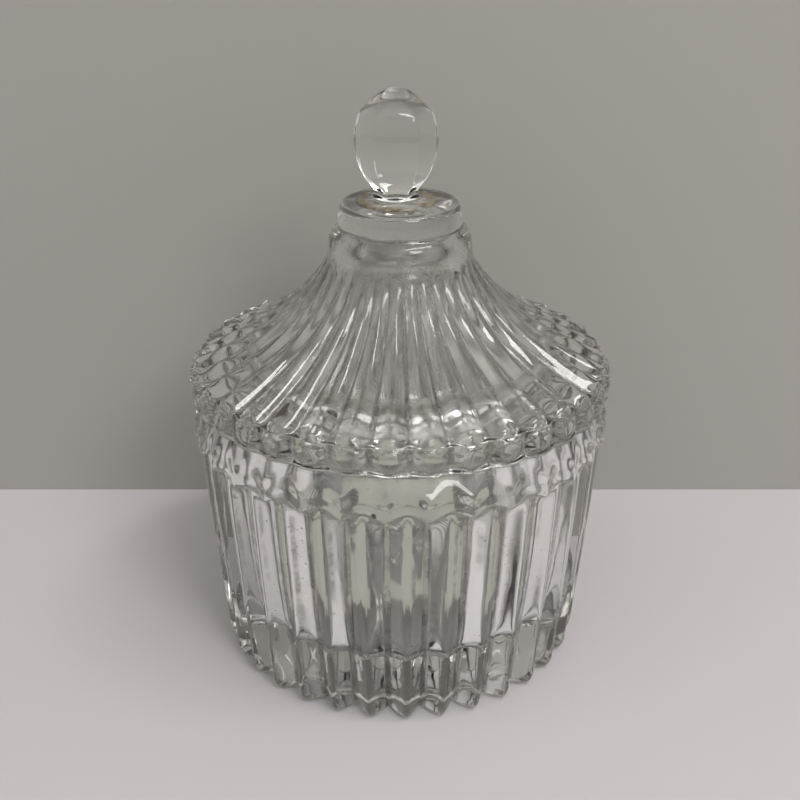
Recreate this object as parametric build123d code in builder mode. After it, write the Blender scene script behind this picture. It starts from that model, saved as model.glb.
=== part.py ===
"""Lidded candle jar in pressed glass: a ribbed jar, a fluted tent lid, a bonded knob.

Millimetres, +Z up. The origin is on the table under the middle of the foot.
"""
import os
from math import cos, radians, sin

from build123d import *

# Jar: height of the seat that the lid rests on, and heights measured from the table or the seat
SEAT_HEIGHT = 62.0
FOOT_BEVEL_HEIGHT = 2.0
FLOOR_THICKNESS = 12.5
FLANGE_DROP = 9.0
FLANGE_HEIGHT = 4.6

# Jar: radius over the ribs at the top of the wall, and what steps in or out from it
JAR_RADIUS = 44.7
JAR_RIBS = 33
WALL_THICKNESS = 8.2
WALL_GROOVE = 3.0
FOOT_INSET = 4.8
FOOT_GROOVE = 4.4
FOOT_BEVEL = 1.5
FLANGE_REACH = 1.1
FLANGE_NOTCH_LOW = 1.0
FLANGE_NOTCH_TOP = 2.2
FLANGE_NOTCH_EDGE = 0.5
FLANGE_BEVEL = 2.2

# Jar: the lip round the mouth, the draft of the inside and the recess under the foot
LIP_WALL = 4.9
INSIDE_DRAFT = 2.5
FLOOR_CORNER = 3.0
FOOT_RING = 6.5
FOOT_RECESS_DEPTH = 0.8

# Lid: the scalloped band, the tent and the shoulder, with heights above the seat
LID_FLUTES = 36
BAND_OVERHANG = 0.2
BAND_SCALLOP = 1.2
BAND_HEIGHT = 6.4
BAND_BEVEL = 0.8
TENT_FOOT_INSET = 2.8
TENT_FOOT_RISE = 1.2
TENT_MID_RADIUS = 29.4
TENT_MID_HEIGHT = 14.2
TENT_UPPER_RADIUS = 20.9
TENT_UPPER_HEIGHT = 20.4
TENT_HEIGHT = 27.0
TENT_WALL = 4.0
FLUTE_DEPTH = 1.4
FLUTE_DEPTH_UPPER = 0.7
FLUTE_DEPTH_TOP = 0.18
SHOULDER_RADIUS = 15.1
SHOULDER_HEIGHT = 8.2
SHOULDER_ROUND = 2.4
COLLAR_STEP = 2.2
COLLAR_HEIGHT = 5.6
COLLAR_ROUND = 1.0

# Lid: the solid glass over its hollow, and how the hollow's top is rounded
CROWN_THICKNESS = 8.3
NECK_WALL = 5.1
HOLLOW_ROUND_WIDTH = 5.0
HOLLOW_ROUND_HEIGHT = 2.0

# Lid: the ring under it that drops into the mouth
RING_CLEARANCE = 0.8
RING_WALL = 3.6
RING_DEPTH = 4.0
RING_LEAD_IN = 0.6

# Knob: an egg-shaped barrel with six flats, bonded on the collar a little off centre
KNOB_OFFSET = -0.8
KNOB_FLATS = 6
KNOB_FOOT_RADIUS = 5.0
KNOB_FOOT_HEIGHT = 0.9
KNOB_NECK_STEP = 0.8
KNOB_NECK_HEIGHT = 2.0
KNOB_RADIUS = 8.9
KNOB_FLAT_DEPTH = 1.0
KNOB_WIDEST_HEIGHT = 12.2
KNOB_LOWER_SHARE = 0.84
KNOB_LOWER_HEIGHT = 6.1
KNOB_CROWN_RADIUS = 5.0
KNOB_CROWN_DROP = 2.4
KNOB_TOP_RADIUS = 2.0
KNOB_HEIGHT = 22.8
KNOB_CROWN_SPREAD = 2.0

# Bond: the thin ring of adhesive under the knob, squeezed out past its foot
BOND_SQUEEZE = 3.3
BOND_THICKNESS = 0.35
BOND_EDGE = 0.2

# Ribs and flutes: the share of a groove's depth reached halfway down its flank
FLANK_DROP = 0.3

# Turn of the patterns about the axis, from the front
RIB_TURN = -1.8
FLUTE_TURN = 2.5

# Sizes that follow from the ones above
MOUTH_RADIUS = JAR_RADIUS - WALL_THICKNESS
FLANGE_RADIUS = JAR_RADIUS + FLANGE_REACH
FLANGE_BOTTOM = SEAT_HEIGHT - FLANGE_DROP
BAND_RADIUS = FLANGE_RADIUS + BAND_OVERHANG
COLLAR_TOP = SEAT_HEIGHT + TENT_HEIGHT + SHOULDER_HEIGHT + COLLAR_HEIGHT


def around(radius, turn):
    """A point at a radius, turned from the front (-Y) towards +X."""
    return (radius * sin(radians(turn)), -radius * cos(radians(turn)))


def ribbed_outline(count, tip_radius, depth, turn):
    """Closed outline of convex ribs: a tip, two flanks and a sharp groove for each rib."""
    pitch = 360 / count
    points = []
    for rib in range(count):
        groove = turn + (rib - 0.5) * pitch
        points.append(around(tip_radius - depth, groove))
        points.append(around(tip_radius - depth * FLANK_DROP, groove + pitch / 4))
        points.append(around(tip_radius, groove + pitch / 2))
        points.append(around(tip_radius - depth * FLANK_DROP, groove + pitch * 3 / 4))
    Polyline(points, close=True)


def ribbed_section(height, count, tip_radius, depth, turn):
    """One level of a ribbed body, as a face at that height."""
    with BuildSketch(Plane.XY.offset(height)) as section:
        with BuildLine():
            ribbed_outline(count, tip_radius, depth, turn)
        make_face()
    return section.sketch


def ribbed_body(levels, count, turn):
    """A body ruled between levels, each a height, a radius over the tips and a groove depth."""
    sections = [ribbed_section(height, count, tip, depth, turn) for height, tip, depth in levels]
    with BuildPart() as body:
        loft(sections, ruled=True)
    return body.part


def make_jar():
    """Ribbed cup with a thick base, a lobed flange and a plain lip."""
    flange_top = FLANGE_BOTTOM + FLANGE_HEIGHT
    flange_turn = RIB_TURN + 180 / JAR_RIBS
    foot_radius = JAR_RADIUS - FOOT_INSET
    floor_radius = MOUTH_RADIUS - INSIDE_DRAFT
    wall_levels = [
        (0, foot_radius, FOOT_GROOVE),
        (FOOT_BEVEL_HEIGHT, foot_radius + FOOT_BEVEL, FOOT_GROOVE),
        (flange_top, JAR_RADIUS, WALL_GROOVE),
    ]
    flange_levels = [
        (FLANGE_BOTTOM, FLANGE_RADIUS - FLANGE_NOTCH_EDGE, FLANGE_NOTCH_LOW),
        (FLANGE_BOTTOM + FLANGE_HEIGHT / 2, FLANGE_RADIUS, FLANGE_NOTCH_LOW),
        (flange_top, FLANGE_RADIUS, FLANGE_NOTCH_TOP),
        (flange_top + FLANGE_BEVEL, FLANGE_RADIUS - FLANGE_BEVEL, FLANGE_NOTCH_EDGE),
    ]
    cone_foot = FLANGE_RADIUS - FLANGE_BEVEL - FLANGE_NOTCH_EDGE
    with BuildPart() as jar:
        add(ribbed_body(wall_levels, JAR_RIBS, RIB_TURN))
        add(ribbed_body(flange_levels, JAR_RIBS, flange_turn))
        with BuildSketch(Plane.XZ):
            with BuildLine():
                Polyline(
                    (0, FLANGE_BOTTOM),
                    (cone_foot - FLANGE_BEVEL, FLANGE_BOTTOM),
                    (cone_foot, flange_top + FLANGE_BEVEL),
                    (MOUTH_RADIUS + LIP_WALL, SEAT_HEIGHT),
                    (0, SEAT_HEIGHT),
                    close=True,
                )
            make_face()
        revolve(axis=Axis.Z)
        with BuildSketch(Plane.XZ):
            with BuildLine():
                Line((0, FLOOR_THICKNESS), (floor_radius - FLOOR_CORNER, FLOOR_THICKNESS))
                ThreePointArc(
                    (floor_radius - FLOOR_CORNER, FLOOR_THICKNESS),
                    (
                        floor_radius - FLOOR_CORNER * (1 - sin(radians(45))),
                        FLOOR_THICKNESS + FLOOR_CORNER * (1 - cos(radians(45))),
                    ),
                    (floor_radius, FLOOR_THICKNESS + FLOOR_CORNER),
                )
                Polyline(
                    (floor_radius, FLOOR_THICKNESS + FLOOR_CORNER),
                    (MOUTH_RADIUS, FLANGE_BOTTOM),
                    (MOUTH_RADIUS, SEAT_HEIGHT),
                    (0, SEAT_HEIGHT),
                    (0, FLOOR_THICKNESS),
                )
            make_face()
        revolve(axis=Axis.Z, mode=Mode.SUBTRACT)
        with BuildSketch(Plane.XY):
            Circle(foot_radius - FOOT_GROOVE - FOOT_RING)
        extrude(amount=FOOT_RECESS_DEPTH, mode=Mode.SUBTRACT)
    return jar


def tent_levels():
    """Levels of the fluted skirt: it narrows upwards and its flutes fade out."""
    band_top = SEAT_HEIGHT + BAND_HEIGHT
    return [
        (SEAT_HEIGHT, BAND_RADIUS - BAND_BEVEL, BAND_SCALLOP),
        (SEAT_HEIGHT + BAND_BEVEL, BAND_RADIUS, BAND_SCALLOP),
        (band_top - BAND_BEVEL, BAND_RADIUS, BAND_SCALLOP),
        (band_top + TENT_FOOT_RISE, BAND_RADIUS - TENT_FOOT_INSET, FLUTE_DEPTH),
        (SEAT_HEIGHT + TENT_MID_HEIGHT, TENT_MID_RADIUS, FLUTE_DEPTH),
        (SEAT_HEIGHT + TENT_UPPER_HEIGHT, TENT_UPPER_RADIUS, FLUTE_DEPTH_UPPER),
        (SEAT_HEIGHT + TENT_HEIGHT, SHOULDER_RADIUS, FLUTE_DEPTH_TOP),
    ]


def make_lid():
    """Fluted tent with a scalloped band, a rounded shoulder, a collar and a locating ring."""
    ring_radius = MOUTH_RADIUS - RING_CLEARANCE
    ring_inner = ring_radius - RING_WALL
    ring_bottom = SEAT_HEIGHT - RING_DEPTH
    shoulder_bottom = SEAT_HEIGHT + TENT_HEIGHT - FLUTE_DEPTH
    shoulder_top = SEAT_HEIGHT + TENT_HEIGHT + SHOULDER_HEIGHT
    hollow_top = COLLAR_TOP - CROWN_THICKNESS
    hollow_radius = SHOULDER_RADIUS - NECK_WALL
    tent_foot_height = SEAT_HEIGHT + BAND_HEIGHT + TENT_FOOT_RISE
    with BuildPart() as lid:
        add(ribbed_body(tent_levels(), LID_FLUTES, FLUTE_TURN))
        with BuildSketch(Plane.XY.offset(shoulder_bottom)):
            Circle(SHOULDER_RADIUS)
        extrude(amount=shoulder_top - shoulder_bottom)
        fillet(lid.edges().group_by(Axis.Z)[-1], SHOULDER_ROUND)
        with BuildSketch(Plane.XY.offset(shoulder_top)):
            Circle(SHOULDER_RADIUS - COLLAR_STEP)
        extrude(amount=COLLAR_HEIGHT)
        fillet(lid.edges().group_by(Axis.Z)[-1], COLLAR_ROUND)
        with BuildSketch(Plane.XY.offset(ring_bottom)):
            Circle(ring_radius)
        extrude(amount=RING_DEPTH)
        chamfer(lid.edges().group_by(Axis.Z)[0], RING_LEAD_IN)
        with BuildSketch(Plane.XZ):
            with BuildLine():
                Polyline(
                    (0, ring_bottom),
                    (ring_inner, ring_bottom),
                    (ring_inner, tent_foot_height - TENT_WALL / 2),
                    (TENT_MID_RADIUS - TENT_WALL / 2, SEAT_HEIGHT + TENT_MID_HEIGHT - TENT_WALL),
                    (TENT_UPPER_RADIUS - TENT_WALL, SEAT_HEIGHT + TENT_UPPER_HEIGHT - TENT_WALL / 2),
                    (SHOULDER_RADIUS - TENT_WALL, SEAT_HEIGHT + TENT_HEIGHT),
                    (hollow_radius, hollow_top - HOLLOW_ROUND_HEIGHT),
                    (hollow_radius - HOLLOW_ROUND_WIDTH, hollow_top),
                    (0, hollow_top),
                    close=True,
                )
            make_face()
        revolve(axis=Axis.Z, mode=Mode.SUBTRACT)
    return lid


def knob_half(barrel_radius, crown_spread):
    """Half outline of the knob about its own axis: foot, neck, egg-shaped barrel and flat top."""
    barrel = [
        (KNOB_FOOT_RADIUS - KNOB_NECK_STEP, KNOB_NECK_HEIGHT),
        (barrel_radius * KNOB_LOWER_SHARE, KNOB_LOWER_HEIGHT),
        (barrel_radius, KNOB_WIDEST_HEIGHT),
        (KNOB_CROWN_RADIUS + crown_spread, KNOB_HEIGHT - KNOB_CROWN_DROP),
        (KNOB_TOP_RADIUS + crown_spread, KNOB_HEIGHT),
    ]
    Polyline((0, 0), (KNOB_FOOT_RADIUS, 0), (KNOB_FOOT_RADIUS, KNOB_FOOT_HEIGHT), barrel[0])
    Spline(barrel)
    Polyline(barrel[-1], (0, KNOB_HEIGHT), (0, 0))


def make_knob(foot_height):
    """Barrel-shaped knob: round at its foot and its crown, with flats round the barrel."""
    foot_centre = (KNOB_OFFSET, 0, foot_height)
    with BuildPart() as knob:
        with BuildSketch(Plane(foot_centre, x_dir=(1, 0, 0), z_dir=(0, -1, 0))):
            with BuildLine():
                knob_half(KNOB_RADIUS, 0)
            make_face()
        revolve(axis=Axis(foot_centre, (0, 0, 1)))
        for pair in range(KNOB_FLATS // 2):
            turn = radians(90 + pair * 360 / KNOB_FLATS)
            flat_normal = (cos(turn), sin(turn), 0)
            along_flat = (sin(turn), -cos(turn), 0)
            with BuildSketch(Plane(foot_centre, x_dir=flat_normal, z_dir=along_flat)):
                with BuildLine():
                    knob_half(KNOB_RADIUS - KNOB_FLAT_DEPTH, KNOB_CROWN_SPREAD)
                make_face()
                mirror(about=Plane.YZ)
            extrude(amount=2 * KNOB_RADIUS, both=True, mode=Mode.INTERSECT)
    return knob


def make_bond(bottom_height):
    """Thin ring of adhesive under the knob, squeezed out past its foot."""
    centre = (KNOB_OFFSET, 0, bottom_height)
    with BuildPart() as bond:
        with BuildSketch(Plane(centre, z_dir=(0, 0, 1))):
            Circle(KNOB_FOOT_RADIUS + BOND_SQUEEZE)
        extrude(amount=BOND_THICKNESS)
        chamfer(bond.edges().group_by(Axis.Z)[-1], BOND_EDGE)
    return bond


def build_all():
    """Make every piece where it stands and write one file for each."""
    pieces = {
        "jar": make_jar(),
        "lid": make_lid(),
        "knob_bond": make_bond(COLLAR_TOP),
        "knob": make_knob(COLLAR_TOP + BOND_THICKNESS),
    }
    os.makedirs("parts", exist_ok=True)
    for name, piece in pieces.items():
        piece.part.label = name
        export_step(piece.part, f"parts/{name}.step")


build_all()
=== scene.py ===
"""Lidded pressed-glass candle jar on a pale table in front of a grey wall."""
import math

import bmesh
import bpy
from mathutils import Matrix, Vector


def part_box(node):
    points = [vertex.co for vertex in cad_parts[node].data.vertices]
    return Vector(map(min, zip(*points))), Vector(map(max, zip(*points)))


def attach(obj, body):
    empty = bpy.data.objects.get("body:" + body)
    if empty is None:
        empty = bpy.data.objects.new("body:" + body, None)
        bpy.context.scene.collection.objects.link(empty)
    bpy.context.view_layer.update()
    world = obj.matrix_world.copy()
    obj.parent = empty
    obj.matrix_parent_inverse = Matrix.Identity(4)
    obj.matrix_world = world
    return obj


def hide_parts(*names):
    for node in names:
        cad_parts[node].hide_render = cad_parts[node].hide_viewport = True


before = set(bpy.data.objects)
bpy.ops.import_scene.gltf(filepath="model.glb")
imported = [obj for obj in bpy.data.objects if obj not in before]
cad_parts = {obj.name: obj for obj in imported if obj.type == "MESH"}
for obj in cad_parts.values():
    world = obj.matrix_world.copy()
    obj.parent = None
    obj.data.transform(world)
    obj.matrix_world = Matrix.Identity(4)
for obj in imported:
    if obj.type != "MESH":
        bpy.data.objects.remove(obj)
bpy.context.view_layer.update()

MM = 0.001
knob_low, knob_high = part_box("knob")
bond_low, bond_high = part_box("knob_bond")

# Ribs and flutes round the axis, and where the patterns start, turned from the front
JAR_RIBS = 33
LID_FLUTES = 36
KNOB_FLATS = 6
RIB_TURN = -1.8
FLUTE_TURN = 2.5

# Columns of faces across one rib, flute or flat
RIB_COLUMNS = 8
FLAT_COLUMNS = 16

# Glass, what clings to it, and two blemishes: each a place, a size and a strength
GLASS_IOR = 1.51
ADHESIVE_IOR = 1.47
CLEAR = (0.975, 0.985, 0.976)
HAZED = (0.955, 0.965, 0.94)
KNOB_CLEAR = (0.95, 0.96, 0.95)
# Pale colour of the wax film, which also paints in light that comes through the glass onto the
# jar's floor
WAX_AND_LIGHT = (0.98, 0.96, 0.9)
# Dark colour for dirt, specks and marks, also used for the painted shade in grooves and hollows
DIRT_AND_SHADE = (0.035, 0.028, 0.018)
OLD_GLUE = (0.5, 0.47, 0.38)
BROWNED_GLUE = (0.09, 0.065, 0.035)
BLACK_SPECK = ((-0.0050, -0.0452, 0.0539), 0.0008, 1.0)
BROWN_SMUDGE = ((-0.0229, -0.0335, 0.0705), 0.0030, 1.0)

# Heights between which dirt and painted shade line the grooves; the last is above the whole
# object, for no lines
JAR_LINES = (0.03, 0.05)
LID_LINES = (0.069, 0.085)
NO_LINES = (0.2, 0.3)

# Inside of the pieces, in millimetres
LID_HOLLOW_TOP = 96
MOUTH_REACH = 36.7
INSIDE_FLOOR = 12
# Extent of the wax film, a pale patch that partly paints in light through the glass
WAX_AND_LIGHT_TOP = 27
WAX_AND_LIGHT_FRONT = -14
WAX_AND_LIGHT_HALF_WIDTH = 19

# ---------------------------------------------------------------- modelling helpers


def deselect_all():
    if bpy.context.object and bpy.context.object.mode != "OBJECT":
        bpy.ops.object.mode_set(mode="OBJECT")
    bpy.ops.object.select_all(action="DESELECT")


def name_piece(name):
    piece = bpy.context.object
    piece.name = name
    piece.data.name = name
    return piece


def chosen_points(mesh):
    return [point for point in bmesh.from_edit_mesh(mesh).verts if point.select]


def choose(mesh, test):
    """Selects the points that pass a test, and nothing else."""
    shape = bmesh.from_edit_mesh(mesh)
    for point in shape.verts:
        point.select = test(point)
    shape.select_flush_mode()
    bmesh.update_edit_mesh(mesh)


def turn_from_front(point):
    return math.atan2(point.co.x, -point.co.y)


def place_row(mesh, half_pitch, row):
    """Moves the chosen row of points to its radius and height, a mirrored pair at a time."""
    points = {point.index for point in chosen_points(mesh)}
    bmesh.from_edit_mesh(mesh).verts.ensure_lookup_table()
    shares = {}
    for index in points:
        point = bmesh.from_edit_mesh(mesh).verts[index]
        share = round(abs(turn_from_front(point)) / half_pitch, 3)
        shares.setdefault(share, []).append(index)
    for share, pair in shares.items():
        choose(mesh, lambda point: point.index in pair)
        start = chosen_points(mesh)[0].co.copy()
        radius, height = row(share)
        factor = radius * MM / math.hypot(start.x, start.y)
        bpy.ops.transform.resize(value=(factor, factor, 1), center_override=(0, 0, 0))
        bpy.ops.transform.translate(value=(0, 0, height * MM - start.z))
    choose(mesh, lambda point: point.index in points)


def rib_strip(name, count, columns, turn, rows):
    """One rib's strip of surface, extruded row by row, then copied round the axis and closed."""
    deselect_all()
    bpy.ops.mesh.primitive_circle_add(vertices=count * columns, radius=0.05)
    piece = name_piece(name)
    mesh = piece.data
    half_pitch = math.pi / count
    bpy.ops.object.mode_set(mode="EDIT")
    bpy.ops.mesh.select_all(action="SELECT")
    shape = bmesh.from_edit_mesh(mesh)
    shape.verts.ensure_lookup_table()
    start = turn_from_front(shape.verts[0])
    bpy.ops.transform.rotate(value=-start, orient_axis="Z", center_override=(0, 0, 0))
    shape = bmesh.from_edit_mesh(mesh)
    shape.verts.ensure_lookup_table()
    if abs(turn_from_front(shape.verts[0])) > 1e-5:
        # The first turn led away from the front, so this one goes back past the start to it
        bpy.ops.transform.rotate(value=2 * start, orient_axis="Z", center_override=(0, 0, 0))
    choose(mesh, lambda point: abs(turn_from_front(point)) > half_pitch * 1.01)
    bpy.ops.mesh.delete(type="VERT")
    bpy.ops.mesh.select_all(action="SELECT")
    for index, row in enumerate(rows):
        if index:
            bpy.ops.mesh.extrude_edges_move()
        place_row(mesh, half_pitch, row)
    bpy.ops.mesh.select_all(action="SELECT")
    bpy.ops.mesh.spin(
        steps=count, angle=2 * math.pi, dupli=True, center=(0, 0, 0), axis=(0, 0, 1)
    )
    bpy.ops.mesh.select_all(action="SELECT")
    bpy.ops.mesh.remove_doubles(threshold=1e-6)
    bpy.ops.mesh.select_all(action="SELECT")
    bpy.ops.transform.rotate(
        value=math.radians(turn), orient_axis="Z", center_override=(0, 0, 0)
    )
    bpy.ops.object.mode_set(mode="OBJECT")
    return piece


def smooth(piece, angle):
    """Rounds the form with one level of subdivision, closes its ends and shades it smooth."""
    deselect_all()
    piece.select_set(True)
    bpy.context.view_layer.objects.active = piece
    rounding = piece.modifiers.new("rounding", "SUBSURF")
    rounding.levels = 1
    rounding.render_levels = 1
    bpy.ops.object.modifier_apply(modifier=rounding.name)
    bpy.ops.object.mode_set(mode="EDIT")
    bpy.ops.mesh.select_all(action="DESELECT")
    bpy.ops.mesh.select_non_manifold()
    bpy.ops.mesh.fill_holes(sides=0)
    bpy.ops.mesh.select_all(action="SELECT")
    bpy.ops.mesh.normals_make_consistent(inside=False)
    bpy.ops.object.mode_set(mode="OBJECT")
    bpy.ops.object.shade_smooth_by_angle(angle=math.radians(angle))


def note_creases(piece, reach):
    """Stores how hollow the surface is at each point, where dirt settles and shade is painted: 1
    in a sharp groove.
    """
    shape = bmesh.new()
    shape.from_mesh(piece.data)
    hollow = []
    for point in shape.verts:
        dent = 0
        for edge in point.link_edges:
            away = edge.other_vert(point).co - point.co
            dent += away.normalized().dot(point.normal)
        hollow.append(dent / max(1, len(point.link_edges)))
    smoother = []
    for point in shape.verts:
        near = [hollow[edge.other_vert(point).index] for edge in point.link_edges]
        smoother.append((hollow[point.index] + sum(near) / max(1, len(near))) / 2)
    shape.free()
    layer = piece.data.attributes.new("crease", "FLOAT", "POINT")
    layer.data.foreach_set("value", [max(0.0, min(1.0, dent / reach)) for dent in smoother])


def coat_inside(piece, test, material):
    """Gives the faces that look into the hollow their own finish."""
    piece.data.materials.append(material)
    for face in piece.data.polygons:
        if test(face.center / MM, face.normal):
            face.material_index = len(piece.data.materials) - 1


# ---------------------------------------------------------------- jar


def jar_rows():
    """Rows of the jar from the middle of its underside, out, up, over the lip and down inside.

    Each gives the radius over a rib, the height, how far the groove between ribs is drawn in,
    how far the notch between flange lobes is drawn in, and how far it is lifted.
    """
    underside = [
        (4, 0.8), (16, 0.8), (27.6, 0.8), (28.5, 0.65), (29.1, 0.12), (29.8, 0), (33, 0),
    ]
    foot = [
        (37.0, 0, 2.6), (38.6, 0.08, 3.6), (39.8, 0.45, 4.2), (40.6, 1.1, 4.5),
        (41.1, 2.0, 4.6), (41.4, 3.2, 4.6),
    ]
    wall = [
        (41.6, 6, 4.5), (41.9, 10, 4.3), (42.3, 15, 4.0), (42.9, 22, 3.5), (43.5, 30, 3.2),
        (44.1, 38, 3.0), (44.5, 45, 3.0), (44.75, 49.5, 3.0), (44.8, 51.3, 2.9),
    ]
    flange = [
        (45.0, 51.75, 0, 0.2, 2.0), (45.6, 52.0, 0, 0.6, 2.0), (45.95, 52.4, 0, 0.8, 1.9),
        (45.95, 53.6, 0, 0.9, 1.5), (45.6, 54.7, 0, 0.9, 1.1), (45.6, 55.0, 0, 1.0, 1.1),
        (45.95, 56.1, 0, 1.5, 1.9), (45.95, 56.6, 0, 2.1, 2.6), (45.7, 57.0, 0, 2.5, 3.2),
        (44.8, 58.1, 0, 1.9, 2.4), (43.7, 59.4, 0, 0.9, 1.3), (42.4, 60.9, 0, 0.1, 0.2),
        (41.6, 61.6, 0, 0, 0), (41.0, 61.88, 0, 0, 0), (40.3, 61.94, 0, 0, 0),
    ]
    inside = [
        (38.0, 61.94), (37.2, 61.88), (36.6, 61.5), (36.4, 60.6), (36.4, 55), (36.1, 48),
        (35.4, 36), (34.6, 24), (34.1, 17.5), (33.9, 15.6), (33.2, 14.0), (32.0, 12.95),
        (30.3, 12.5), (24, 12.4), (12, 12.3), (4, 12.3),
    ]

    def row_of(spec):
        radius, height, groove, notch, lift = spec + (0,) * (5 - len(spec))

        def row(share):
            rib = share ** 1.3
            gap = 1 - share ** 1.5
            return radius - groove * rib - notch * gap, height + lift * gap

        return row

    return [row_of(spec) for spec in underside + foot + wall + flange + inside]


def make_jar():
    jar = rib_strip("jar_glass_body", JAR_RIBS, RIB_COLUMNS, RIB_TURN, jar_rows())
    smooth(jar, 50)
    note_creases(jar, 0.07)
    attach(jar, "jar")
    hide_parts("jar")
    return jar


# ---------------------------------------------------------------- lid


def lid_rows():
    """Rows of the lid from the top of its hollow, down to the ring, out, up the band and the tent.

    Each gives the radius over a flute, the height, and how far the groove is drawn in and down.
    """
    hollow = [
        (2, 94.5), (5, 94.2), (7.9, 93.1), (9.6, 91), (10.4, 88.5), (11.6, 85.5), (14, 82.3),
        (17.4, 79.3), (22, 75.8), (27, 72.5), (30.3, 70.3), (31.8, 68.6), (32.1, 66.8), (32.1, 62),
    ]
    ring = [
        (32.1, 59), (32.3, 58.3), (32.9, 58.03), (34.7, 58.03), (35.3, 58.3), (35.55, 59),
        (35.6, 61.2), (35.8, 61.85), (36.4, 62), (40, 62), (43.4, 62),
    ]
    band_low = [(44.9, 62.02, 0.8), (45.7, 62.15, 0.9), (45.75, 62.5, 0.9)]
    band_high = [(44.9, 68.3, 1.9, 0.7), (44.6, 69.0, 2.0, 1.3)]
    tent = [
        (43.9, 69.7, 1.6, 2.1), (42.4, 70.4, 1.2, 2.2), (39.6, 71.5, 1.0, 2.1),
        (36.4, 73.0, 0.9, 1.9), (33, 74.7, 0.9, 1.8), (29.6, 76.7, 0.9, 1.6),
        (26.3, 78.9, 0.9, 1.3), (23.3, 81.3, 0.8, 1.0), (20.6, 83.9, 0.75, 0.7),
        (18.5, 86.3, 0.6, 0.45), (16.9, 88.5, 0.4, 0.2), (15.9, 90.2, 0.12, 0),
    ]
    shoulder = [
        (15.35, 91.8), (15.2, 93.6), (15.05, 95.2), (14.7, 96.3), (14.1, 97.05), (13.45, 97.5),
        (13.05, 97.95), (13.0, 98.5), (13.05, 99.2), (12.9, 100.4), (12.65, 101.6), (12.4, 102.2),
        (11.9, 102.62), (11.2, 102.78), (9.5, 102.8), (6, 102.8), (2, 102.8),
    ]

    def row_of(spec):
        radius, height, inward, downward = spec + (0,) * (4 - len(spec))

        def row(share):
            groove = share ** 1.7
            return radius - inward * groove, height - downward * groove

        return row

    band_radius = 44.8
    bead_height = 65.45
    bead_tall = 2.5
    bead_wide = 0.8

    bead_swell = 1.15
    scallop = 0.9

    def bead_row(height):
        def row(share):
            away = ((height - bead_height) / bead_tall) ** 2 + (share / bead_wide) ** 2
            swell = (1 - away) ** 0.4 if away < 1 else 0
            return band_radius - scallop * share ** 4 + bead_swell * swell, height

        return row

    beads = [bead_row(62.9 + 0.3 * step) for step in range(18)]
    before = [row_of(spec) for spec in hollow + ring + band_low]
    after = [row_of(spec) for spec in band_high + tent + shoulder]
    return before + beads + after


def make_lid():
    lid = rib_strip("lid_glass_tent", LID_FLUTES, RIB_COLUMNS, FLUTE_TURN, lid_rows())
    smooth(lid, 50)
    note_creases(lid, 0.07)
    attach(lid, "lid")
    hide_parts("lid")
    return lid


# ---------------------------------------------------------------- knob and its bond


def knob_rows(base):
    """Rows of the knob from its foot: round foot, neck, flat-sided barrel, round crown.

    Each gives the radius at a corner, the height over the base, and how flat the sides are.
    """
    levels = [
        (2, 0, 0), (4.2, 0, 0), (4.85, 0.15, 0), (5, 0.5, 0), (4.75, 0.95, 0.1),
        (4.4, 1.35, 0.6), (4.45, 1.8, 1), (5.3, 2.9, 1), (6.4, 4.2, 1), (7.45, 6.1, 1),
        (8.2, 8.2, 1), (8.7, 10.4, 1), (8.85, 12.3, 1), (8.65, 14.3, 1), (8.15, 16.3, 1),
        (7.6, 17.7, 1), (7.4, 18.05, 0.9), (7.0, 18.4, 0.3), (6.1, 19.2, 0.1), (5.0, 20.2, 0),
        (4.0, 21.05, 0), (3.0, 21.8, 0), (2.3, 22.25, 0), (1.7, 22.5, 0), (1.0, 22.6, 0),
    ]
    apothem = 0.88
    corner = math.pi / KNOB_FLATS

    def row_of(radius, height, flatness):
        def row(share):
            flat = min(1, apothem / math.cos(share * corner))
            return radius * (1 - flatness * (1 - flat)), base / MM + height

        return row

    return [row_of(*level) for level in levels]


def make_knob():
    knob = rib_strip("knob_glass_finial", KNOB_FLATS, FLAT_COLUMNS, 0, knob_rows(knob_low.z))
    deselect_all()
    knob.select_set(True)
    bpy.context.view_layer.objects.active = knob
    bpy.ops.object.mode_set(mode="EDIT")
    bpy.ops.mesh.select_all(action="SELECT")
    middle = (knob_low.x + knob_high.x) / 2
    bpy.ops.transform.translate(value=(middle, 0, 0))
    bpy.ops.object.mode_set(mode="OBJECT")
    smooth(knob, 60)
    note_creases(knob, 0.12)
    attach(knob, "lid")
    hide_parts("knob")
    return knob


# ---------------------------------------------------------------- materials


def node(tree, kind, **settings):
    made = tree.nodes.new(kind)
    for key, value in settings.items():
        setattr(made, key, value)
    return made


def reckon(tree, operation, first, second=None, third=None, clamp=False):
    """A maths node, fed by sockets or plain numbers."""
    made = node(tree, "ShaderNodeMath", operation=operation, use_clamp=clamp)
    for place, value in enumerate((first, second, third)):
        if value is None:
            continue
        if isinstance(value, (int, float)):
            made.inputs[place].default_value = value
        else:
            tree.links.new(value, made.inputs[place])
    return made.outputs[0]


def ramp(tree, value, low, high, low_to=0.0, high_to=1.0):
    """A smooth step of a value between two edges."""
    made = node(tree, "ShaderNodeMapRange", interpolation_type="SMOOTHSTEP")
    tree.links.new(value, made.inputs["Value"])
    made.inputs["From Min"].default_value = low
    made.inputs["From Max"].default_value = high
    made.inputs["To Min"].default_value = low_to
    made.inputs["To Max"].default_value = high_to
    return made.outputs["Result"]


def noise(tree, place, scale, detail=3.0, rough=0.6):
    made = node(tree, "ShaderNodeTexNoise")
    made.inputs["Scale"].default_value = scale
    made.inputs["Detail"].default_value = detail
    made.inputs["Roughness"].default_value = rough
    tree.links.new(place, made.inputs["Vector"])
    return made.outputs["Fac"]


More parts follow.
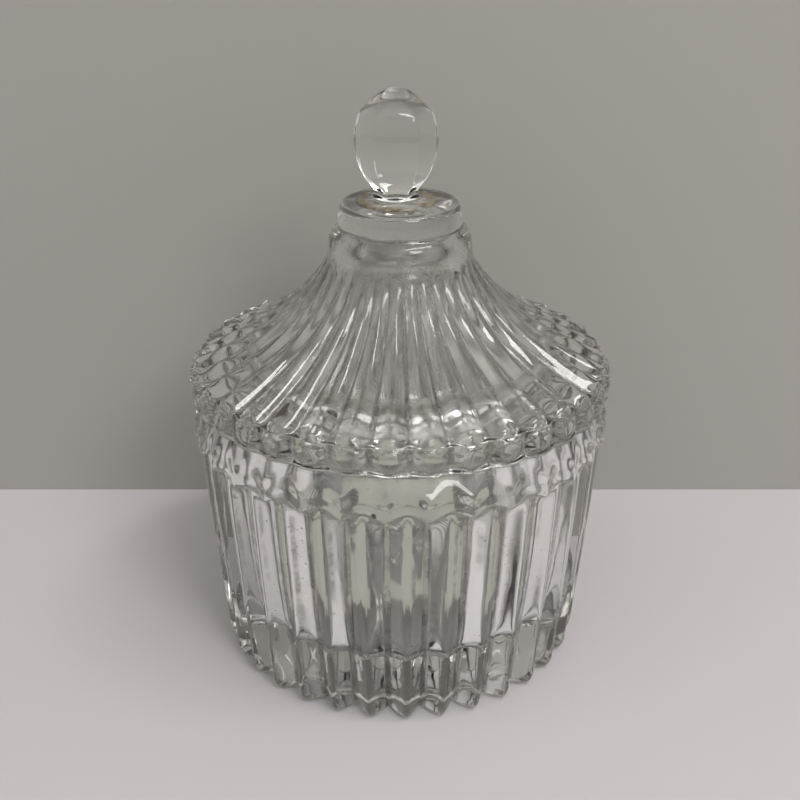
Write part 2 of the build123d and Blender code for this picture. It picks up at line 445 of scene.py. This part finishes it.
def new_group(name, inputs, outputs):
    """A shader node group with a position input, number inputs and number outputs."""
    group = bpy.data.node_groups.new(name, "ShaderNodeTree")
    group.interface.new_socket("Position", in_out="INPUT", socket_type="NodeSocketVector")
    for label, value in inputs:
        socket = group.interface.new_socket(label, in_out="INPUT", socket_type="NodeSocketFloat")
        socket.default_value = value
    for label in outputs:
        group.interface.new_socket(label, in_out="OUTPUT", socket_type="NodeSocketFloat")
    start = group.nodes.new("NodeGroupInput")
    end = group.nodes.new("NodeGroupOutput")
    return group, start, end


def groove_group():
    """How near a point is to the bottom of a groove: 1 in the groove, 0 over a rib."""
    group, start, end = new_group(
        "groove_nearness", [("Count", LID_FLUTES), ("Turn", 0.0)], ["Nearness", "Radius"]
    )
    parts = node(group, "ShaderNodeSeparateXYZ")
    group.links.new(start.outputs["Position"], parts.inputs[0])
    across, deep = parts.outputs["X"], parts.outputs["Y"]
    turn = reckon(group, "ARCTAN2", across, reckon(group, "MULTIPLY", deep, -1))
    turned = reckon(group, "SUBTRACT", turn, start.outputs["Turn"])
    per_turn = reckon(group, "DIVIDE", start.outputs["Count"], 2 * math.pi)
    ribs = reckon(group, "MULTIPLY", turned, per_turn)
    nearness = reckon(group, "PINGPONG", ribs, 0.5)
    group.links.new(reckon(group, "MULTIPLY", nearness, 2), end.inputs["Nearness"])
    across_squared = reckon(group, "POWER", reckon(group, "ABSOLUTE", across), 2)
    deep_squared = reckon(group, "POWER", reckon(group, "ABSOLUTE", deep), 2)
    radius = reckon(group, "SQRT", reckon(group, "ADD", across_squared, deep_squared))
    group.links.new(radius, end.inputs["Radius"])
    return group


def grime_group():
    """Dust film, dark specks and fine scuffs of glass that has stood about, from the position."""
    group, start, end = new_group(
        "glass_wear", [("Specks", 1.0), ("Film", 1.0)], ["Dirt", "Haze", "Wave"]
    )
    place = start.outputs["Position"]
    patches = ramp(group, noise(group, place, 60, 2), 0.45, 0.7)
    grains = ramp(group, noise(group, place, 1500, 2, 0.5), 0.66, 0.74)
    specks = reckon(group, "MULTIPLY", patches, grains)
    specks = reckon(group, "MULTIPLY", specks, start.outputs["Specks"])
    group.links.new(specks, end.inputs["Dirt"])
    stretched = node(group, "ShaderNodeMapping")
    stretched.inputs["Scale"].default_value = (1, 1, 0.12)
    group.links.new(place, stretched.inputs["Vector"])
    scuffs = ramp(group, noise(group, stretched.outputs[0], 900, 3), 0.6, 0.75)
    film = ramp(group, noise(group, place, 90, 4), 0.4, 0.75)
    haze = reckon(group, "ADD", reckon(group, "MULTIPLY", scuffs, 0.35), film)
    haze = reckon(group, "MULTIPLY", haze, start.outputs["Film"])
    group.links.new(haze, end.inputs["Haze"])
    group.links.new(noise(group, place, 110, 1), end.inputs["Wave"])
    return group


def use_group(tree, group, place, **values):
    made = node(tree, "ShaderNodeGroup", node_tree=group)
    tree.links.new(place, made.inputs["Position"])
    for label, value in values.items():
        made.inputs[label].default_value = value
    return made


def blend_colour(tree, share, first, second):
    made = node(tree, "ShaderNodeMix", data_type="RGBA")
    tree.links.new(share, made.inputs["Factor"])
    for place, value in ((6, first), (7, second)):
        if isinstance(value, tuple):
            made.inputs[place].default_value = (*value, 1)
        else:
            tree.links.new(value, made.inputs[place])
    return made.outputs[2]


def pressed_glass(
    name, tint, count, turn, lines, specks, film, dull=0.0, marks=(), clearness=1.0
):
    """Pressed glass with slightly wavy faces, dirt and painted shade in its grooves and a thin
    uneven film.

    Dirt and painted shade line the grooves between the two heights in lines, and dull clouds the
    surface.
    """
    material = bpy.data.materials.new(name)
    material.use_nodes = True
    tree = material.node_tree
    shader = tree.nodes["Principled BSDF"]
    shader.inputs["IOR"].default_value = GLASS_IOR
    shader.inputs["Transmission Weight"].default_value = clearness
    place = node(tree, "ShaderNodeTexCoord").outputs["Object"]
    wear = use_group(tree, GRIME, place, Specks=specks, Film=film)
    groove = use_group(tree, GROOVE, place, Count=count, Turn=math.radians(turn))
    height = node(tree, "ShaderNodeSeparateXYZ")
    tree.links.new(place, height.inputs[0])
    near = ramp(tree, groove.outputs["Nearness"], 0.82, 0.97)
    outside = ramp(tree, groove.outputs["Radius"], 0.0165, 0.02)
    low, high = lines
    above = ramp(tree, height.outputs["Z"], low, low + 0.002)
    below = ramp(tree, height.outputs["Z"], high, high + 0.004, 1.0, 0.0)
    level = reckon(tree, "MULTIPLY", above, below)
    broken = ramp(tree, noise(tree, place, 260, 4, 0.7), 0.36, 0.62)
    in_groove = reckon(tree, "MULTIPLY", near, outside)
    # Painted shade with some dirt: the grooves between the two heights are darkened
    line = reckon(tree, "MULTIPLY", in_groove, reckon(tree, "MULTIPLY", level, broken))
    crease = node(tree, "ShaderNodeAttribute", attribute_name="crease").outputs["Fac"]
    patchy = ramp(tree, broken, 0.0, 1.0, 0.25, 0.65)
    # Painted shade with some dirt: points are darkened by how hollow they are
    crease_dirt_and_shade = reckon(tree, "MULTIPLY", ramp(tree, crease, 0.25, 0.9), patchy)
    line = reckon(tree, "MAXIMUM", reckon(tree, "MULTIPLY", line, 0.6), crease_dirt_and_shade)
    dirt_and_shade = reckon(tree, "ADD", line, wear.outputs["Dirt"], clamp=True)
    for spot, size, strength in marks:
        gap = node(tree, "ShaderNodeVectorMath", operation="DISTANCE")
        tree.links.new(place, gap.inputs[0])
        gap.inputs[1].default_value = spot
        ripple = ramp(tree, noise(tree, place, 700, 3), 0.3, 0.7, 0.0, size * 0.5)
        ragged = reckon(tree, "ADD", gap.outputs["Value"], ripple)
        mark = ramp(tree, ragged, size * 0.8, size * 1.1, strength, 0.0)
        dirt_and_shade = reckon(tree, "MAXIMUM", dirt_and_shade, mark)
    # Blending towards the dark colour paints shade into grooves and hollows, besides dirt, specks
    # and marks
    colour = blend_colour(tree, dirt_and_shade, tint, DIRT_AND_SHADE)
    tree.links.new(colour, shader.inputs["Base Color"])
    film_rough = reckon(tree, "MULTIPLY", wear.outputs["Haze"], 0.06)
    rough = reckon(tree, "ADD", film_rough, reckon(tree, "MULTIPLY", dirt_and_shade, 0.4))
    if dull:
        cloud = ramp(tree, wear.outputs["Wave"], 0.35, 0.7, dull * 0.7, dull * 1.3)
        rough = reckon(tree, "ADD", rough, cloud)
    tree.links.new(rough, shader.inputs["Roughness"])
    bump = node(tree, "ShaderNodeBump")
    bump.inputs["Strength"].default_value = 0.12
    bump.inputs["Distance"].default_value = 0.001
    tree.links.new(wear.outputs["Wave"], bump.inputs["Height"])
    tree.links.new(bump.outputs["Normal"], shader.inputs["Normal"])
    return material


def old_adhesive(name):
    """Clear adhesive, browned and gritty where it was squeezed out past the knob's foot."""
    material = bpy.data.materials.new(name)
    material.use_nodes = True
    tree = material.node_tree
    shader = tree.nodes["Principled BSDF"]
    shader.inputs["IOR"].default_value = ADHESIVE_IOR
    place = node(tree, "ShaderNodeTexCoord").outputs["Object"]
    middle = ((bond_low.x + bond_high.x) / 2, 0, 0)
    centred = node(tree, "ShaderNodeVectorMath", operation="SUBTRACT")
    tree.links.new(place, centred.inputs[0])
    centred.inputs[1].default_value = middle
    groove = use_group(tree, GROOVE, centred.outputs[0], Count=1, Turn=0)
    rim = ramp(tree, groove.outputs["Radius"], 0.0052, 0.0072)
    patches = ramp(tree, noise(tree, place, 190, 4, 0.7), 0.38, 0.54)
    grit = ramp(tree, noise(tree, place, 1400, 2), 0.4, 0.6, 0.5, 1.0)
    stain = reckon(tree, "MULTIPLY", reckon(tree, "MULTIPLY", rim, patches), grit)
    colour = blend_colour(tree, stain, OLD_GLUE, BROWNED_GLUE)
    tree.links.new(colour, shader.inputs["Base Color"])
    tree.links.new(ramp(tree, stain, 0.0, 0.6, 0.08, 0.95), shader.inputs["Alpha"])
    tree.links.new(ramp(tree, grit, 0.4, 1.0, 0.25, 0.5), shader.inputs["Roughness"])
    return material


# ---------------------------------------------------------------- setting, light and camera


def make_setting():
    """A pale table and a grey wall close behind, which can be seen through from its back."""
    deselect_all()
    bpy.ops.mesh.primitive_plane_add(size=6, location=(0, 0, 0))
    table = name_piece("table_top")
    material = bpy.data.materials.new("table_paint")
    material.use_nodes = True
    shader = material.node_tree.nodes["Principled BSDF"]
    shader.inputs["Base Color"].default_value = (0.56, 0.54, 0.56, 1)
    shader.inputs["Roughness"].default_value = 0.5
    table.data.materials.append(material)

    bpy.ops.object.select_all(action="DESELECT")
    bpy.ops.mesh.primitive_plane_add(
        size=3, location=(0, 0.059, 1.5), rotation=(math.pi / 2, 0, 0)
    )
    wall = name_piece("wall")
    material = bpy.data.materials.new("wall_paint")
    material.use_nodes = True
    tree = material.node_tree
    shader = tree.nodes["Principled BSDF"]
    shader.inputs["Base Color"].default_value = (0.375, 0.365, 0.345, 1)
    shader.inputs["Roughness"].default_value = 0.8
    clear = tree.nodes.new("ShaderNodeBsdfTransparent")
    mix = tree.nodes.new("ShaderNodeMixShader")
    geometry = tree.nodes.new("ShaderNodeNewGeometry")
    tree.links.new(geometry.outputs["Backfacing"], mix.inputs["Fac"])
    tree.links.new(shader.outputs["BSDF"], mix.inputs[1])
    tree.links.new(clear.outputs["BSDF"], mix.inputs[2])
    tree.links.new(mix.outputs["Shader"], tree.nodes["Material Output"].inputs["Surface"])
    wall.data.materials.append(material)


def area_light(name, place, aim, size, power, colour):
    lamp = bpy.data.lights.new(name, "AREA")
    lamp.shape = "RECTANGLE"
    lamp.size, lamp.size_y = size
    lamp.energy = power
    lamp.color = colour
    holder = bpy.data.objects.new(name, lamp)
    bpy.context.scene.collection.objects.link(holder)
    holder.location = place
    holder.rotation_euler = (Vector(aim) - Vector(place)).to_track_quat("-Z", "Y").to_euler()


def make_light():
    world = bpy.data.worlds.new("room")
    bpy.context.scene.world = world
    world.use_nodes = True
    tree = world.node_tree
    sky = tree.nodes["Background"]
    parts = node(tree, "ShaderNodeSeparateXYZ")
    tree.links.new(node(tree, "ShaderNodeTexCoord").outputs["Generated"], parts.inputs[0])
    tree.links.new(ramp(tree, parts.outputs["Z"], 0.1, 0.8, 0.2, 1.0), sky.inputs["Strength"])
    sky.inputs["Color"].default_value = (1, 0.975, 0.93, 1)
    area_light("ceiling_panel", (0.3, -0.3, 0.9), (0, 0, 0.05), (0.6, 0.12), 3, (1, 0.98, 0.95))
    area_light("window", (0.5, -0.9, 0.9), (0, 0, 0.06), (0.4, 0.4), 4.7, (1, 0.975, 0.94))
    bpy.context.scene.view_settings.view_transform = "Standard"


def make_camera():
    camera = bpy.data.cameras.new("camera")
    holder = bpy.data.objects.new("camera", camera)
    bpy.context.scene.collection.objects.link(holder)
    camera.lens = 53.07
    camera.sensor_width = 36
    holder.location = (0, -0.2384, 0.1708)
    holder.rotation_mode = "XYZ"
    holder.rotation_euler = (math.radians(64.47), 0, 0)
    bpy.context.scene.camera = holder


def faces_axis(spot, facing):
    return facing.x * spot.x + facing.y * spot.y < 0


def in_lid_hollow(spot, facing):
    return faces_axis(spot, facing) and facing.z < 0.2 and spot.z < LID_HOLLOW_TOP


def inside_jar(spot, facing):
    return spot.z > INSIDE_FLOOR and math.hypot(spot.x, spot.y) < MOUTH_REACH and spot.z < 61


def on_wax_and_light_patch(spot, facing):
    """The cloudy film of wax on the floor and low on the back of the jar's inside; its pale colour
    also paints in the light that comes through the glass.
    """
    in_reach = WAX_AND_LIGHT_FRONT < spot.y and abs(spot.x) < WAX_AND_LIGHT_HALF_WIDTH
    up_or_forward = facing.z > 0.5 or facing.y < -0.3
    in_jar = INSIDE_FLOOR < spot.z < WAX_AND_LIGHT_TOP and math.hypot(spot.x, spot.y) < MOUTH_REACH
    return in_jar and in_reach and up_or_forward


jar = make_jar()
lid = make_lid()
knob = make_knob()
GROOVE = groove_group()
GRIME = grime_group()
jar.data.materials.append(
    pressed_glass(
        "jar_glass", CLEAR, JAR_RIBS, RIB_TURN, JAR_LINES, 0.5, 0.6, marks=[BLACK_SPECK]
    )
)
lid.data.materials.append(
    pressed_glass(
        "lid_glass", CLEAR, LID_FLUTES, FLUTE_TURN, LID_LINES, 0.8, 1, marks=[BROWN_SMUDGE]
    )
)
knob.data.materials.append(
    pressed_glass("knob_glass", KNOB_CLEAR, KNOB_FLATS, 0, NO_LINES, 0.1, 0.2)
)
coat_inside(
    lid, in_lid_hollow,
    pressed_glass("lid_inside_haze", HAZED, LID_FLUTES, FLUTE_TURN, NO_LINES, 0.5, 1, 0.16),
)
coat_inside(
    jar, inside_jar,
    pressed_glass("jar_inside_film", HAZED, JAR_RIBS, RIB_TURN, NO_LINES, 2.0, 1, 0.08),
)
# Wax film inside the jar, partly a painted patch of light
coat_inside(
    jar, on_wax_and_light_patch,
    pressed_glass(
        "jar_floor_wax_and_light", WAX_AND_LIGHT, JAR_RIBS, RIB_TURN, NO_LINES, 0.6, 1, 0.4, clearness=0.08
    ),
)
bond = bpy.data.objects["knob_bond"]
bond.data.materials.clear()
bond.data.materials.append(old_adhesive("knob_bond_adhesive"))
make_setting()
make_light()
make_camera()
